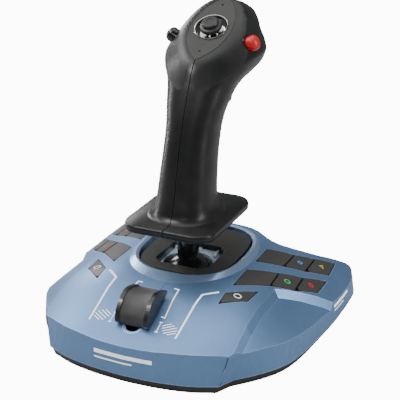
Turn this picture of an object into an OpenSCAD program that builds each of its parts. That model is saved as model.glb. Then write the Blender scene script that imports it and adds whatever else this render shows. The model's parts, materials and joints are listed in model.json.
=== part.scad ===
// Desktop flight joystick: a domed base with a two-axis gimbal, a twisting grip,
// a small throttle slider and fourteen base buttons.
// Frame: +Z up, -Y towards the user, +X to the user's right, millimetres.
// The origin is on the table, under the centre of the base.

/* [Base] */
// Height of the deck at its middle, above the table
deck_h = 56.3; // [54:0.1:58]
// Half-width of the flat middle of the deck
deck_flat = 30; // [25:5:35]
// Radius of the deck's rounded flanks
deck_r = 128; // [120:1:140]
// Slope of the front of the deck, in degrees
front_slope = 21; // [19:0.5:23]
// Thickness of the moulded shells
wall = 2.5; // [2:0.1:3]
// Depth of the palm recesses below the deck
palm_drop = 4.8; // [3:0.1:6]

/* [Gimbal] */
// Place of the stick's axis along Y
stick_y = 8.5; // [7:0.5:10]
// Height of the gimbal's centre above the table
pivot_z = 34; // [33:0.5:35]
// Radius of the ball cap around the gimbal
ball_r = 24; // [23.5:0.1:24.2]
// Radius of the stick's shaft
shaft_r = 8.75; // [8:0.25:9.5]
// Radius of the gimbal's steel pins
pin_r = 3; // [2.5:0.25:3]

/* [Grip] */
// Half-width of the hand rest
rest_w = 38; // [36:0.5:40]
// Half-length of the hand rest
rest_d = 47; // [45:0.5:49]
// Height of the hand rest's underside
rest_z = 92.5; // [92.5:0.5:95]
// Thickness of the hand rest
rest_t = 4.5; // [4:0.1:5.5]
// Thickness of the grip's wall
grip_wall = 2.2; // [1.8:0.1:2.6]

/* [Buttons and throttle] */
// Gap round a base button
key_gap = 0.7; // [0.6:0.05:0.9]
// Thickness of a base button's cap
key_t = 6; // [5:0.5:6]
// Radius of a side button on the grip
side_r = 6.2; // [5.5:0.1:6.5]
// Half-width of the throttle slider
slider_w = 13.4; // [13:0.1:14]
// Half-length of the throttle's slot
slot_l = 17.8; // [17.6:0.1:18.5]

/* [Hidden] */
$fn = 48;

blue = [0.36, 0.52, 0.68];
dark = [0.13, 0.13, 0.14];
black = [0.06, 0.06, 0.065];
grey = [0.36, 0.35, 0.34];
steel = [0.72, 0.73, 0.75];

// ---------- Deck surface ----------
front_break = -48;                 // where the front slope starts, along Y
half_slope = front_slope / 2;      // the narrow facet that softens the break
half_drop = 2.1;                   // how far that facet lies below the sharp corner
flank = function (x) let (t = max(0, abs(x) - deck_flat)) deck_r - sqrt(deck_r * deck_r - t * t);
deck_z = function (x, y) deck_h - flank(x)
    + min(0, (y - front_break) * tan(front_slope), (y - front_break) * tan(half_slope) - half_drop);

// ---------- Base outline, right half, front to back ----------
// Foot of the skirt, and the rim above it, as matching points.
lobe_foot = [[0, -107.6], [27, -106], [52, -101], [71, -93]];
side_foot = [[77.5, -80], [93, -63], [105.5, -43], [112, -16], [115.3, 16], [118, 46], [118.5, 74],
    [117, 92], [111.5, 103.5], [101, 107.3], [87, 94], [69, 81], [50, 78], [28, 86.5], [0, 90]];
lobe_rim = [[0, -107.6], [26, -105.8], [53, -99.3], [76.5, -87]];
side_rim = [[81, -76.5], [94, -60], [105, -37], [109.5, -5], [111.5, 22], [114, 45], [115, 70], [114, 90],
    [109, 101], [99, 92.5], [85, 79], [67, 69], [50, 68], [27, 82.5], [0, 86]];
skirt_z = 9;                       // height of the skirt's foot
rim_z = 30;                        // height at which the walls turn upright

// A smooth curve through the points of p, with n steps in each span
knot = function (p, i) p[max(0, min(len(p) - 1, i))];
spline = function (p, n) concat(
    [for (i = [0:len(p) - 2], j = [0:n - 1])
        let (t = j / n, a = knot(p, i - 1), b = knot(p, i), c = knot(p, i + 1), d = knot(p, i + 2))
        0.5 * (2 * b + (c - a) * t + (2 * a - 5 * b + 4 * c - d) * t * t
            + (3 * b - a - 3 * c + d) * t * t * t)],
    [p[len(p) - 1]]);
// Both halves of an outline, anticlockwise from the front middle
both = function (p) concat(p, [for (i = [len(p) - 2:-1:1]) [-p[i][0], p[i][1]]]);
foot = both(concat(spline(lobe_foot, 3), spline(side_foot, 3)));
rim = both(concat(spline(lobe_rim, 3), spline(side_rim, 3)));
// The same outline, moved inwards by d
unit = function (v) v / norm(v);
inset = function (p, d) [for (i = [0:len(p) - 1])
    let (a = p[(i + len(p) - 1) % len(p)], b = p[(i + 1) % len(p)], u = unit(b - a))
    p[i] + d * [-u[1], u[0]]];

// A closed solid through loops of equal length, each [outline, height]
module loft(loops) {
    n = len(loops[0][0]);
    m = len(loops);
    points = [for (l = loops, q = l[0]) [q[0], q[1], l[1]]];
    walls = [for (k = [0:m - 2], i = [0:n - 1])
        let (j = (i + 1) % n) each [
            [k * n + i, (k + 1) * n + i, (k + 1) * n + j],
            [k * n + i, (k + 1) * n + j, k * n + j]]];
    polyhedron(points, concat([[for (i = [0:n - 1]) i]], walls,
        [[for (i = [n - 1:-1:0]) (m - 1) * n + i]]));
}

// Everything under the deck surface lowered by drop, in flat strips along Y
bar_w = 125;
strip = 5;
deck_x = concat([for (x = [-bar_w:strip:-deck_flat]) x], [for (x = [deck_flat:strip:bar_w]) x]);
deck_y = [130, front_break + half_drop / tan(half_slope),
    front_break - half_drop / (tan(front_slope) - tan(half_slope)), -130];
module under(lowered, from) {
    rotate([90, 0, 90]) loft([for (x = deck_x) if (x >= from)
        [concat([[-130, -250], [130, -250]], [for (y = deck_y) [y, deck_z(x, y) - lowered(x, y)]]), x]]);
}
module under_deck(drop, from = -bar_w) {
    under(function (x, y) drop, from);
}

// Plan of a palm recess, on the right
palm_in = 78;
palm_corner = [[palm_in, 0], [113, 37], [139, 64.5]];
module palm_plan(grow) {
    polygon(concat([[palm_in - grow, -110]], [for (q = palm_corner) q + [-grow, grow]], [[140, -110]]));
}
module palm(drop, grow) {
    difference() {
        translate([0, 0, 5]) linear_extrude(70) palm_plan(grow);
        under_deck(drop, 70);
    }
}
// The recess with its bevelled walls
palm_bevel = 1.2;                  // steepness of the walls
palm_side = unit(palm_corner[1] - palm_corner[0]);
module palm_recess() {
    difference() {
        palm(palm_drop, 0);
        under(function (x, y) palm_bevel * (x - palm_in - 0.2), 70);
        under(function (x, y) palm_bevel * (palm_side[1] * (x - palm_in - 0.2) - palm_side[0] * y), 70);
    }
}

// ---------- Well ----------
well_c = 25;                       // centre of the well along Y
oval = function (a, b_front, b_back, n, i, count) let (t = 360 * i / count, c = cos(t), s = sin(t),
    b = s < 0 ? b_front : b_back)
    [a * sign(c) * pow(abs(c), 2 / n), well_c + b * sign(s) * pow(abs(s), 2 / n)];
ring_steps = 60;
well_loop = function (g) [for (i = [0:ring_steps - 1]) oval(42.5 + g, 51 + g, 51 + g, 2.6, i, ring_steps)];
ring_loop = function (g) [for (i = [0:ring_steps - 1]) oval(49.3 + g, 64 + g, 56.5 + g, 2.3, i, ring_steps)];
ring_top = 58.2;

// ---------- Base buttons ----------
// Corners of the two rows on the right, front edge and back edge, from inside to outside
lower_front = [[51.7, -22.6], [74.4, -0.1], [90.2, 13.6], [103.4, 32]];
lower_back = [[51.2, 8.6], [73.2, 24.1], [89.3, 37.7], [103.7, 56.5]];
upper_front = [[52, 24.9], [72.3, 35.7], [87.3, 46.4], [102.5, 64.5]];
upper_back = [[51.7, 51.5], [73.2, 60.7], [87.2, 72.9], [100.8, 87.6]];
small_key = [[51.5, -50.5], [69.5, -34.5], [70.9, -13.8], [51.5, -35.2]];
key_round = 1.5;
cell = function (f, b, i) [f[i], f[i + 1], b[i + 1], b[i]];
KEYS = [["small", small_key],
    ["lower_wide", cell(lower_front, lower_back, 0)],
    ["lower_mid", cell(lower_front, lower_back, 1)],
    ["lower_outer", cell(lower_front, lower_back, 2)],
    ["upper_wide", cell(upper_front, upper_back, 0)],
    ["upper_mid", cell(upper_front, upper_back, 1)],
    ["upper_outer", cell(upper_front, upper_back, 2)]];
middle = function (q) (q[0] + q[1] + q[2] + q[3]) / 4;
row = function (f, b) concat(f, [for (i = [len(b) - 1:-1:0]) b[i]]);

// Frame of a button row: its z axis is the deck's normal there
pod_x = 78;
pod_tilt = 22;
module pod() translate([pod_x, 0, deck_z(pod_x, 20)]) rotate([0, pod_tilt, 0]) children();
// Place in the row's frame above a point of the plan
pod_place = function (p) (p[0] - pod_x) / cos(pod_tilt);
plunger_end = -10;                 // height of the plungers' ends in that frame
mat_top = -11.6;
board_top = -13;

// ---------- Throttle ----------
slider_y = -77;
slider_z = deck_z(0, slider_y);
module slope() translate([0, slider_y, slider_z]) rotate([front_slope, 0, 0]) children();
slot_w = 6;
slot_end = function (from, side) [for (t = [from:7.5:from + 180])
    [slot_w * cos(t), slot_w * sin(t) + side * (slot_l - slot_w)]];
slot_outline = concat(slot_end(0, 1), slot_end(180, -1));
rail_x = 9.5;
rail_z = -12;
rail_r = 1.5;

// ---------- Fasteners of the base ----------
shell_screws = [[55, -76], [96, -8], [57.5, 60]];
housing_ear = 44;
housing_screws = [for (a = [-1, 1], b = [-1, 1]) [a * housing_ear, stick_y + b * 26]];

// ================= Base =================
module base_outside() {
    loft([[foot, skirt_z], [rim, rim_z], [rim, 70]]);
}

module base_top_shell() color(blue) difference() {
    union() {
        difference() {
            intersection() {
                base_outside();
                under_deck(0);
            }
            for (s = [0, 1]) mirror([s, 0, 0]) palm_recess();
            difference() {
                intersection() {
                    loft([[inset(foot, wall), skirt_z - 1], [inset(rim, wall), rim_z], [inset(rim, wall), 70]]);
                    under_deck(wall);
                }
                for (s = [0, 1]) mirror([s, 0, 0]) palm(palm_drop + wall, wall);
            }
        }
        // Screw bosses, and posts that hold the button boards
        for (s = [0, 1]) mirror([s, 0, 0]) {
            for (i = [0:2]) intersection() {
                translate([shell_screws[i][0], shell_screws[i][1], skirt_z + 2]) cylinder(60, 4, 4);
                under_deck(wall / 2 + (i == 1 ? palm_drop : 0), 40);
            }
            intersection() {
                pod() for (p = [[-4, 30], [19, 56]]) translate([p[0], p[1], board_top]) cylinder(20, 2.4, 2.4);
                under_deck(wall / 2, 40);
            }
        }
    }
    // Opening for the ring, the button rows and the slider's stem
    translate([0, 0, 40]) linear_extrude(40) polygon(ring_loop(0.15));
    for (s = [0, 1]) mirror([s, 0, 0]) translate([0, 0, 12]) linear_extrude(60) {
        polygon(row(lower_front, lower_back));
        polygon(row(upper_front, upper_back));
        polygon(small_key);
    }
    slope() translate([0, 0, -20]) linear_extrude(40) polygon(slot_outline);
    // Pilot holes and the cable gland's hole
    for (s = [-1, 1], p = shell_screws) translate([s * p[0], p[1], 0]) cylinder(20, 1.3, 1.3);
    translate([0, 70, 18]) rotate([-90, 0, 0]) cylinder(30, 4.6, 4.6);
}

module well_ring() color(blue) {
    outer = ring_loop(0);
    crest = well_loop(2.4);
    inner = well_loop(0);
    lower = well_loop(2.4);
    n = ring_steps;
    low_z = 47;
    points = concat(
        [for (q = outer) [q[0], q[1], deck_z(q[0], q[1]) - 3.2]],
        [for (q = outer) [q[0], q[1], deck_z(q[0], q[1])]],
        [for (q = crest) [q[0], q[1], ring_top]],
        [for (q = inner) [q[0], q[1], ring_top - 0.8]],
        [for (q = inner) [q[0], q[1], low_z]],
        [for (q = lower) [q[0], q[1], low_z]],
        [for (q = lower) [q[0], q[1], 50]]);
    m = 7;
    polyhedron(points, [for (k = [0:m - 1], i = [0:n - 1])
        let (j = (i + 1) % n, l = (k + 1) % m) each [
            [k * n + i, l * n + i, l * n + j],
            [k * n + i, l * n + j, k * n + j]]]);
}

module base_bottom_tray() color(black) difference() {
    union() {
        difference() {
            loft([[inset(foot, 4), 1.5], [inset(foot, 1.2), skirt_z]]);
            loft([[inset(foot, 5.6), 4], [inset(foot, 3.9), skirt_z + 1]]);
        }
        // Sockets for the shell's screws and pads for the housing
        for (s = [-1, 1], p = shell_screws) translate([s * p[0], p[1], 2]) cylinder(skirt_z, 4.5, 4.5);
    }
    for (s = [-1, 1], p = shell_screws) translate([s * p[0], p[1], 0]) {
        cylinder(20, 1.7, 1.7);
        cylinder(5, 3.2, 3.2);
    }
    for (p = housing_screws) translate([p[0], p[1], 0]) {
        cylinder(20, 1.7, 1.7);
        cylinder(2.6, 3.2, 3.2);
    }
    for (p = foot_places) translate([p[0], p[1], 0]) cylinder(2.5, 8.2, 8.2);
}

foot_places = [for (s = [-1, 1]) each [[s * 62, -62], [s * 100, 30], [s * 90, 86]]];
module rubber_feet() color(black) for (p = foot_places) translate([p[0], p[1], 0]) {
    cylinder(0.6, 7.4, 8);
    translate([0, 0, 0.6]) cylinder(1.9, 8, 8);
}

module ballast_plates() color(steel) for (s = [0, 1]) mirror([s, 0, 0]) translate([52, -34, 4])
    cube([34, 62, 4]);

// One pan-head screw, its head at the bottom
module screw(length, head_r, head_h, r) {
    cylinder(head_h, head_r, head_r);
    translate([0, 0, head_h]) cylinder(length, r, r);
}

module base_screws() color(steel) {
    for (s = [-1, 1], p = shell_screws) translate([s * p[0], p[1], 2.9]) difference() {
        screw(11, 2.9, 2.1, 1.3);
        cylinder(1.2, 1.2, 1.2, $fn = 6);
    }
    for (p = housing_screws) translate([p[0], p[1], 1.6]) difference() {
        screw(7, 2.9, 1, 1.3);
        cylinder(0.6, 1.2, 1.2, $fn = 6);
    }
}

housing_top = 40;
floor_top = 51;                    // top of the light guide, the well's floor
plate_top = 56;
plate_t = 3;
well_outline = [for (i = [0:ring_steps - 1]) oval(38.5, 46.5, 47, 3.4, i, ring_steps)];
opening = [[-23.5, -4], [-17, -9.5], [17, -9.5], [23.5, -4], [23.5, 29.5], [17, 36], [-17, 36], [-23.5, 29.5]];
module well_posts(from, to) for (s = [-1, 1], y = [-3, 44]) translate([s * 33, y, from])
    cylinder(to - from, 1.8, 1.8);

// Cover over the gimbal, with an opening for the stick
module well_plate() color(grey) {
    difference() {
        translate([0, 0, plate_top - plate_t]) linear_extrude(plate_t) polygon(well_outline);
        translate([0, 0, plate_top - 10]) linear_extrude(20) polygon(opening);
    }
    well_posts(floor_top, plate_top - plate_t / 2);
}

// Pale guide under the cover that spreads the light of the base, with ribs
guide_ribs = [[-2, 38.7, 11, 3], [14.8, 32.6, 7, 2.4], [-23, 35, 28, 3]];
module light_guide() color([0.75, 0.82, 0.9]) difference() {
    union() {
        translate([0, 0, floor_top - 2.8]) linear_extrude(2.8) polygon(well_outline);
        well_posts(housing_top, floor_top - 1);
        for (r = guide_ribs) translate([r[0], r[1], floor_top - 1]) rotate([0, 0, r[2]])
            translate([-r[3] / 2, -8, 0]) cube([r[3], 16, 2.4]);
    }
    translate([0, stick_y, housing_top]) cylinder(20, 20.4, 20.4);
}

module gimbal_housing() color(dark) translate([0, stick_y, 0]) difference() {
    union() {
        translate([-38, -38, 4]) cube([76, 76, housing_top - 4]);
        for (a = [-1, 1], b = [-1, 1]) translate([a * housing_ear, b * 26, 4]) cylinder(5, 5, 5);
        for (b = [-1, 1]) translate([-housing_ear, b * 26 - 5, 4]) cube([2 * housing_ear, 10, 3]);
    }
    translate([-31.5, -31.5, 0]) cube([63, 63, 60]);
    for (s = [-1, 1]) translate([0, s * 27, pivot_z]) rotate([-90 * s, 0, 0]) cylinder(15, pin_r + 0.06, pin_r + 0.06);
    for (a = [-1, 1], b = [-1, 1]) translate([a * housing_ear, b * 26, 0]) cylinder(20, 1.3, 1.3);
    // Windows in the walls, for wires and to save weight
    for (s = [-1, 1]) translate([s * 35 - 5, -18, 12]) cube([10, 36, 12]);
}

module main_board() color([0.1, 0.3, 0.16]) {
    translate([-36, 54, 15]) cube([72, 22, 1.6]);
    for (s = [-1, 1]) translate([s * 31, 65, 4]) cylinder(11, 3, 3);
    translate([-8, 60, 16.6]) cube([12, 12, 1.4]);
    translate([14, 62, 16.6]) cube([14, 7, 6]);
}

module cable_gland() color(black) translate([0, 81.4, 18]) rotate([-90, 0, 0]) difference() {
    union() {
        cylinder(2.4, 7, 7);
        cylinder(10, 4.5, 4.5);
        translate([0, 0, 8.8]) cylinder(5.4, 5.8, 4.2);
    }
    translate([0, 0, -1]) cylinder(30, 2.3, 2.3);
}

// A round wire coiled n times, from z = 0 up to h
module coil(r0, r1, h, n, wire) {
    sides = 6;
    steps = 14;
    last = n * steps;
    ring = [for (k = [0:last], i = [0:sides - 1])
        let (t = 360 * k / steps, a = 360 * i / sides, r = r0 + (r1 - r0) * k / last + wire * cos(a))
        [r * cos(t), r * sin(t), wire + (h - 2 * wire) * k / last + wire * sin(a)]];
    polyhedron(ring, concat([[for (i = [0:sides - 1]) i]],
        [for (k = [0:last - 1], i = [0:sides - 1]) let (j = (i + 1) % sides) each [
            [k * sides + i, (k + 1) * sides + i, (k + 1) * sides + j],
            [k * sides + i, (k + 1) * sides + j, k * sides + j]]],
        [[for (i = [sides - 1:-1:0]) last * sides + i]]));
}

disc_z = 16;
module centring_spring() color(steel) translate([0, stick_y, 4]) coil(16, 10, disc_z - 4, 4, 0.8);

// ---------- Button boards, mats and buttons, drawn on the right ----------
board_plan = [[-27, -50], [-9, -38], [-7, -14], [26, 16], [26, 82], [-27, 46]];
module button_board() color([0.1, 0.3, 0.16]) pod() translate([0, 0, board_top - 1.6]) linear_extrude(1.6)
    polygon(board_plan);
module button_mat() color(grey) pod() difference() {
    union() {
        translate([0, 0, board_top]) linear_extrude(mat_top - board_top) polygon(board_plan);
        for (k = KEYS) let (p = middle(k[1])) translate([pod_place(p), p[1], board_top])
            cylinder(mat_top - board_top + 0.6, 3.6, 3);
    }
    for (p = [[-4, 30], [19, 56]]) translate([p[0], p[1], board_top - 1]) cylinder(5, 2.6, 2.6);
}
module key(k) color(grey) {
    difference() {
        intersection() {
            translate([0, 0, 12]) linear_extrude(60) offset(r = key_round) offset(delta = -key_gap - key_round)
                polygon(KEYS[k][1]);
            under_deck(-0.1, 45);
        }
        under_deck(key_t, 45);
    }
    pod() let (p = middle(KEYS[k][1])) translate([pod_place(p), p[1], plunger_end])
        cylinder(-plunger_end - 5.2, 2.2, 2.2);
}

// ---------- Throttle ----------
leg_l = slider_z - (8 - rail_z - 0.5) * cos(front_slope) - 4;
module throttle_bracket() color(dark) slope() difference() {
    union() {
        translate([-16, -23, rail_z - 8]) cube([32, 46, 2]);
        for (s = [-1, 1]) translate([-16, s * 22 - 1.5, rail_z - 8]) cube([32, 3, 13]);
        // Legs down to the tray
        for (s = [-1, 1]) translate([s * 12, 0, rail_z - 7.5]) rotate([-front_slope, 0, 0])
            translate([0, 0, -leg_l]) cylinder(leg_l, 3, 3);
    }
    for (s = [-1, 1]) translate([s * rail_x, 0, rail_z]) rotate([90, 0, 0])
        cylinder(60, rail_r, rail_r, center = true);
}
module throttle_rails() color(steel) slope() for (s = [-1, 1]) translate([s * rail_x, 0, rail_z])
    rotate([90, 0, 0]) cylinder(47, rail_r, rail_r, center = true);
module throttle_sensor() color([0.5, 0.5, 0.52]) slope() translate([-4, -19, rail_z - 6]) difference() {
    cube([8, 38, 2.7]);
    translate([3, 4, 1.5]) cube([2, 30, 3]);
}
module throttle_carriage() color(dark) slope() difference() {
    union() {
        translate([-13, -7, rail_z - 3]) cube([26, 14, 6]);
        translate([-4, -5.5, rail_z]) cube([8, 11, -rail_z + 3]);
    }
    for (s = [-1, 1]) translate([s * rail_x, 0, rail_z]) rotate([90, 0, 0])
        cylinder(60, rail_r + 0.06, rail_r + 0.06, center = true);
}
// Side view of the slider's top, back to front, as [along the slope, above the deck]
saddle_top = spline([[22.4, 6.2], [19, 9.4], [14, 13], [10, 15.2], [5, 16.4], [-2, 15.2], [-8, 12.2], [-12, 9],
    [-14.6, 4.5]], 3);
saddle_side = function (drop) concat([[13, 1], [18, 3], [22.6, 4.4]], [for (q = saddle_top)
    q - drop * unit(q - [3, -6])], [[-13.2, 1]]);
module along_x(w) rotate([90, 0, 90]) linear_extrude(w, center = true) children();
cheek_t = 3.2;
saddle_half = slider_w - cheek_t;
saddle_steps = 8;
module throttle_saddle() color(dark) slope() difference() {
    rotate([90, 0, 90]) loft([for (i = [0:saddle_steps])
        let (x = saddle_half * (2 * i / saddle_steps - 1))
        [saddle_side(1 + 1.8 * (1 - pow(x / saddle_half, 2))), x]]);
    translate([-4, -5.5, -5]) cube([8, 11, 8]);
}
module throttle_cheeks() color(black) slope() for (s = [-1, 1]) translate([s * (slider_w - cheek_t / 2), 0, 0])
    along_x(cheek_t) polygon(saddle_side(0));

// ================= Gimbal and stem =================
ring_half = 29.5;
module at_pivot() translate([0, stick_y, pivot_z]) children();
module gimbal_ring() color(steel) at_pivot() difference() {
    translate([-ring_half, -ring_half, -5]) cube([2 * ring_half, 2 * ring_half, 9]);
    translate([-25.3, -25.3, -6]) cube([50.6, 50.6, 12]);
    rotate([90, 0, 0]) cylinder(80, pin_r, pin_r, center = true);
    rotate([0, 90, 0]) cylinder(80, pin_r + 0.06, pin_r + 0.06, center = true);
}
module roll_pins() color(steel) at_pivot() for (s = [-1, 1]) translate([0, s * 25.4, 0])
    rotate([-90 * s, 0, 0]) cylinder(12.4, pin_r, pin_r);
module pitch_axle() color(steel) at_pivot() rotate([0, 90, 0]) cylinder(2 * ring_half - 0.4, pin_r, pin_r,
    center = true);

module dome_cap() color(black) at_pivot() difference() {
    sphere(ball_r, $fn = 96);
    sphere(ball_r - 2, $fn = 96);
    translate([0, 0, -54]) cube([100, 100, 100], center = true);
    cylinder(40, shaft_r, shaft_r);
    rotate([0, 90, 0]) cylinder(80, pin_r, pin_r, center = true);
}
module stem_yoke() color(dark) at_pivot() difference() {
    union() {
        translate([0, 0, -8]) cylinder(18, 13, 13);
        translate([0, 0, -15]) cylinder(8, 6, 6);
    }
    rotate([0, 90, 0]) cylinder(80, pin_r, pin_r, center = true);
    translate([0, 0, 5]) cylinder(20, 6, 6);
}
neck_r = 6.95;
neck_top = 152;
module stem_shaft() color(black) translate([0, stick_y, 0]) difference() {
    union() {
        translate([0, 0, pivot_z + 5]) cylinder(6, 6, 6);
        translate([0, 0, pivot_z + 10]) cylinder(rest_z - 0.5 - pivot_z - 10, shaft_r, shaft_r);
        translate([0, 0, rest_z - 0.5]) cylinder(neck_top - rest_z + 0.5, neck_r, neck_r);
    }
    translate([0, 0, pivot_z + 4]) cylinder(200, 3.5, 3.5);
}
module centring_disc() color(steel) translate([0, stick_y, disc_z]) cylinder(3, 14, 14);

// ================= Grip =================
// Height, front, back, half-width and squareness of each section of the grip
grip_sections = [[96, -27, 41, 31, 2.4], [98.5, -23.7, 37.5, 27, 2.4], [102, -21, 34.6, 24.4, 2.4],
    [108, -19.2, 32.6, 22.9, 2.4], [116, -16.4, 32.4, 22.2, 2.4], [130, -13, 34.6, 21.4, 2.4],
    [145, -9.1, 38.2, 20.6, 2.4], [160, -4.6, 43.2, 20.4, 2.4], [174, 0.3, 48.8, 21.8, 2.4],
    [183, 4, 55.7, 23.8, 2.4], [190, 7, 63.6, 25.4, 2.4], [196, 9.8, 76.2, 27.7, 2.4],
    [201, 12.4, 94.5, 31.2, 2.5], [207, 15.6, 105.6, 35, 2.6], [214, 20, 107, 36.7, 2.7],
    [221, 22.6, 106.8, 34.4, 2.8], [228, 25, 106.6, 29.8, 3], [235, 27.6, 106.8, 26.5, 3.2],
    [241, 30.4, 105.8, 23.2, 3.2], [247, 34.4, 99, 18, 3], [252, 40, 87, 12, 2.8]];
half_steps = 18;
// Right half of one section, shrunk by g
half_section = function (s, g) [for (i = [0:half_steps]) let (t = 180 * i / half_steps - 90,
    c = cos(t), n = sin(t), mid = (s[1] + s[2]) / 2, d = (s[2] - s[1]) / 2 - g)
    [i == 0 || i == half_steps ? 0 : (s[3] - g) * pow(c, 2 / s[4]),
        mid + d * sign(n) * pow(abs(n), 2 / s[4])]];
module half_loft(g) {
    loft([for (s = grip_sections) [half_section(s, g), s[0]]]);
}

// Frame of the hat plate on top of the head
hat_tilt = 31;
hat_y = 53.4;
hat_z = 234.5;
module head() translate([0, hat_y, hat_z]) rotate([hat_tilt, 0, 0]) children();
leaf_l = 35.5;
leaf_w = 17.2;
leaf_end = 32.4;                   // where the leaf's upper end is cut off
plate_screw = 26.4;
dish_r = 13.8;
leaf_r = (leaf_l * leaf_l + leaf_w * leaf_w) / (2 * leaf_w);
module leaf(g) {
    intersection() {
        translate([leaf_w - leaf_r, 0]) circle(leaf_r + g, $fn = 120);
        translate([leaf_r - leaf_w, 0]) circle(leaf_r + g, $fn = 120);
        translate([-50, leaf_end + g - 100]) square([100, 100]);
    }
}

// Frame of a side button: its z axis points out of the button's face
module side_button() translate([35.2, 55.6, 225.8]) rotate([0, 0, -6]) rotate([0, 58, 0]) children();

grip_bolts = [[-8, 118], [24, 166], [27, 198], [88, 222]];
trigger_y = 64;
trigger_z = 197;
trigger_w = 7.5;
boss_r = 4;
module cross(p, r, l) translate([0, p[0], p[1]]) rotate([0, 90, 0]) cylinder(l, r, r, center = true);

top_wall = 3.4;                    // thickness of the wall under the hat plate
module grip_half() {
    difference() {
        union() {
            difference() {
                half_loft(0);
                head() translate([0, 0, 100]) cube([300, 300, 200], center = true);
                difference() {
                    half_loft(grip_wall);
                    translate([0, 0, 45]) cube([300, 300, 104], center = true);
                    head() translate([0, 0, 100 - top_wall]) cube([300, 300, 200], center = true);
                    translate([0, 0, 141.5]) cube([300, 300, 2.5], center = true);
                    for (p = grip_bolts) cross(p, boss_r, 100);
                    difference() {
                        cross([trigger_y, trigger_z], boss_r, 100);
                        cross([trigger_y, trigger_z], boss_r + 1, 2 * trigger_w + 1.6);
                    }
                }
            }
            // Hand rest
            translate([0, stick_y, rest_z]) linear_extrude(rest_t) intersection() {
                union() {
                    square([2 * rest_w, 2 * rest_d - 30], center = true);
                    square([2 * rest_w - 30, 2 * rest_d], center = true);
                    for (s = [-1, 1]) translate([rest_w - 15, s * (rest_d - 15)]) circle(15);
                }
                translate([0, -100]) square([100, 200]);
            }
        }
        translate([0, stick_y, rest_z - 1]) cylinder(60, 9, 9);
        head() translate([0, 0, -2]) linear_extrude(20) leaf(0.1);
        head() translate([0, 0, -20]) cylinder(30, dish_r + 0.4, dish_r + 0.4);
        for (s = [-1, 1]) head() translate([0, s * plate_screw, -8]) cylinder(10, 1.05, 1.05);
        side_button() translate([0, 0, -18]) cylinder(40, 8.3, 8.3);
        translate([-trigger_w - 0.7, 57, 179]) cube([2 * trigger_w + 1.4, 38, 20.5]);
        cross([trigger_y, trigger_z], 1.5, 26.2);
    }
}
module grip_half_right() color(black) difference() {
    grip_half();
    for (p = grip_bolts) cross(p, 1.05, 24);
}
module grip_half_left() color(black) difference() {
    mirror([1, 0, 0]) grip_half();
    for (p = grip_bolts) {
        cross(p, 1.25, 24);
        translate([-40 - 8, p[0], p[1]]) rotate([0, 90, 0]) cylinder(40, 2.6, 2.6);
    }
}
module grip_screws() color(steel) {
    for (p = grip_bolts) translate([-9.8, p[0], p[1]]) rotate([0, 90, 0]) difference() {
        screw(18, 2.3, 1.8, 1.05);
        cylinder(0.9, 1, 1, $fn = 6);
    }
    // The two plate screws have their heads on top
    for (s = [-1, 1]) head() translate([0, s * plate_screw, 0.35]) rotate([180, 0, 0]) difference() {
        screw(6, 1.9, 1, 1.05);
        cylinder(0.6, 0.9, 0.9, $fn = 6);
    }
}

module twist_bushes() color([0.85, 0.85, 0.8]) translate([0, stick_y, 0]) for (b = [[97.02, 16], [142.76, 14]])
    translate([0, 0, b[0]]) difference() {
        cylinder(6, b[1], b[1]);
        translate([0, 0, -1]) cylinder(8, neck_r + 0.05, neck_r + 0.05);
    }

module hat_plate() color(grey) difference() {
    head() translate([0, 0, -2]) linear_extrude(2.35) difference() {
        leaf(0);
        circle(dish_r + 0.05);
        for (s = [-1, 1]) translate([0, s * plate_screw]) circle(1.05);
    }
    for (s = [-1, 1]) head() translate([0, s * plate_screw, -0.65]) cylinder(5, 1.95, 1.95);
}
module hat_dish() color(dark) head() difference() {
    union() {
        translate([0, 0, -7]) cylinder(8, dish_r, dish_r);
        translate([0, 0, 1]) cylinder(0.6, dish_r, dish_r - 0.6);
    }
    translate([0, 0, -5.5]) cylinder(10, dish_r - 3, dish_r - 0.9);
    translate([0, 0, -10]) cylinder(20, 5, 5);
}
hat_pin = 0.7;
hat_deep = 9.3;                    // depth of the hat's pivot below the plate
module hat_gimbal() color(steel) head() translate([0, 0, -hat_deep]) difference() {
    union() {
        translate([0, 0, -1.2]) cylinder(2.4, 4.4, 4.4);
        rotate([0, 90, 0]) cylinder(12, hat_pin, hat_pin, center = true);
    }
    cylinder(6, 2.6, 2.6, center = true);
    rotate([90, 0, 0]) cylinder(12, hat_pin, hat_pin, center = true);
}
module hat_cap() color(black) head() {
    translate([0, 0, -12]) cylinder(14.6, 2.2, 2.2);
    translate([0, 0, -hat_deep]) rotate([90, 0, 0]) cylinder(8, hat_pin - 0.05, hat_pin - 0.05, center = true);
    difference() {
        translate([0, 0, 0.4]) cylinder(3.4, 8.8, 8.2);
        translate([0, 0, 0.1]) cylinder(1.4, 7.6, 7.6);
    }
    translate([0, 0, 3.7]) cylinder(3.6, 7.2, 6.2, $fn = 8);
}
module grip_board() color([0.1, 0.3, 0.16]) head() translate([0, 0, -15.4]) {
    translate([-12, -15, 0]) cube([24, 30, 1.6]);
    difference() {
        translate([-6, -6, 1.6]) cube([12, 12, 1.4]);
        cylinder(6, 3.4, 3.4);
    }
}

module button_collar() color(black) side_button() difference() {
    translate([0, 0, -15]) cylinder(11.4, 8.2, 8.2);
    translate([0, 0, -13.4]) cylinder(4.6, 7.5, 7.5);
    translate([0, 0, -10]) cylinder(20, side_r + 0.4, side_r + 0.4);
}
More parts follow.
